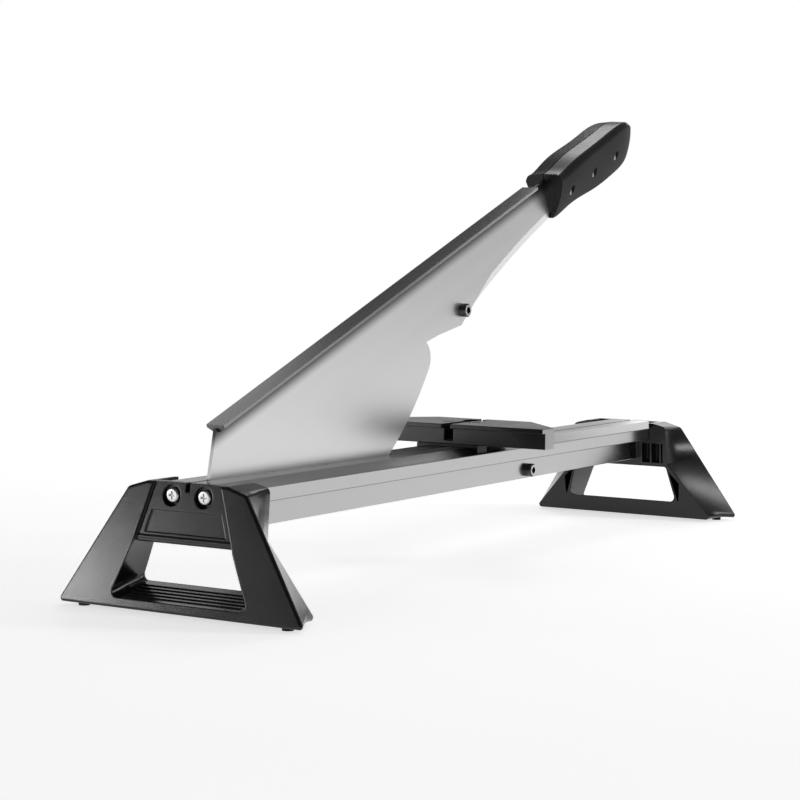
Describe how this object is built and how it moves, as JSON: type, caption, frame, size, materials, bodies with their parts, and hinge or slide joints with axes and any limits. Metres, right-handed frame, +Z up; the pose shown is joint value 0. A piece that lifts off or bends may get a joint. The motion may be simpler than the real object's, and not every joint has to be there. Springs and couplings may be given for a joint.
{
  "type": "laminate flooring cutter",
  "caption": "Guillotine cutter for laminate planks: moulded feet, slotted aluminium rails, a cross fence and a hinged blade lever with a handle.",
  "frame": {"origin": "on the floor, at the centre of the object's footprint", "axes": "+X along the rails away from the hinge, +Y to the rear of the picture, +Z up"},
  "size_m": [0.8054, 0.229, 0.4154],
  "materials": {
    "foot_plastic": "fine textured moulded plastic with a soft sheen",
    "pad_rubber": "matte",
    "zinc_screw": "bright zinc plated",
    "rail_aluminium": "satin anodised extrusion",
    "hidden_steel": "zinc plated",
    "black_steel": "black oxide",
    "fence_plastic": "fine textured moulded plastic",
    "saddle_steel": "black painted plate",
    "blade_steel": "fine brushed",
    "flange_steel": "dark satin",
    "grip_plastic": "fine textured moulded plastic"
  },
  "bodies": {
    "base": {"left_foot": "foot_plastic", "right_foot": "foot_plastic", "left_foot_pads": "pad_rubber", "right_foot_pads": "pad_rubber", "left_foot_screws": "zinc_screw", "right_foot_screws": "zinc_screw", "front_rail": "rail_aluminium", "rear_rail": "rail_aluminium", "pivot_bolt": "hidden_steel", "pivot_flat_washers": "hidden_steel", "pivot_bush": "hidden_steel", "pivot_washers": "hidden_steel", "pivot_nut": "hidden_steel", "tie_bolt": "black_steel", "tie_spacer": "hidden_steel", "tie_nut": "black_steel", "fence": "fence_plastic", "fence_saddle": "saddle_steel", "fence_screws": "zinc_screw"},
    "lever": {"blade_plate": "blade_steel", "top_flange": "flange_steel", "lever_peg": "black_steel", "lever_peg_nut": "black_steel", "grip_front_half": "grip_plastic", "grip_rear_half": "grip_plastic", "grip_screws": "zinc_screw", "grip_nuts": "hidden_steel"}
  },
  "joints": [
    {"name": "lever_hinge", "type": "hinge", "parent": "base", "child": "lever", "pos_m": [-0.345, 0, 0.0745], "axis": [0, -1, 0], "range_deg": [-15.5, 35]}
  ]
}
